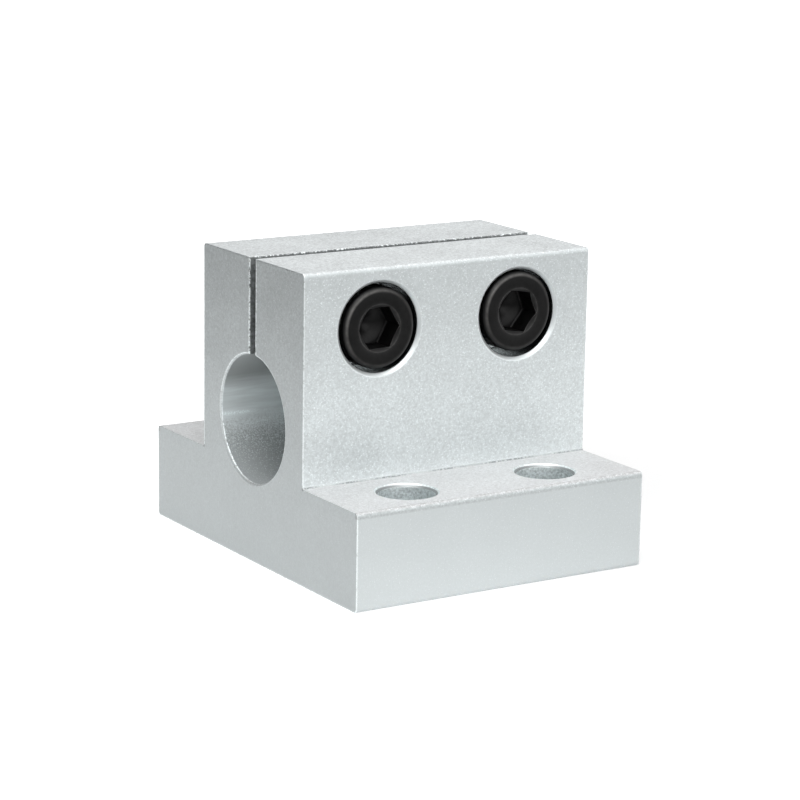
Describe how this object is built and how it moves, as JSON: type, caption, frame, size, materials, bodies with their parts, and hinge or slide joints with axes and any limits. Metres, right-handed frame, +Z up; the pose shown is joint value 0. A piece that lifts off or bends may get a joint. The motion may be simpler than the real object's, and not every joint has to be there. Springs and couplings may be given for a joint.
{
  "type": "shaft support block",
  "caption": "T-shaped aluminium block that clamps a round shaft above a base plate, with a slit top, socket head clamp screws and bolt holes in its flanges.",
  "frame": {"origin": "middle of the underside of the block", "axes": "+X runs along the shaft bore, the clamp screws go in from the -Y side, +Z is up"},
  "size_m": [0.041, 0.05, 0.038],
  "materials": {
    "block": "bead blasted and clear anodised, matt",
    "screws": "black oxide steel, satin"
  },
  "bodies": {
    "block": {"support_block": "block"},
    "screw_left": {"clamp_screw_left": "screws"},
    "screw_right": {"clamp_screw_right": "screws"}
  },
  "joints": [
    {"name": "screw_left_turn", "type": "hinge", "parent": "block", "child": "screw_left", "pos_m": [-0.01, 0, 0.0306], "axis": [0, -1, 0], "range_deg": [0, 450]},
    {"name": "screw_right_turn", "type": "hinge", "parent": "block", "child": "screw_right", "pos_m": [0.01, 0, 0.03084], "axis": [0, -1, 0], "range_deg": [0, 450]}
  ]
}
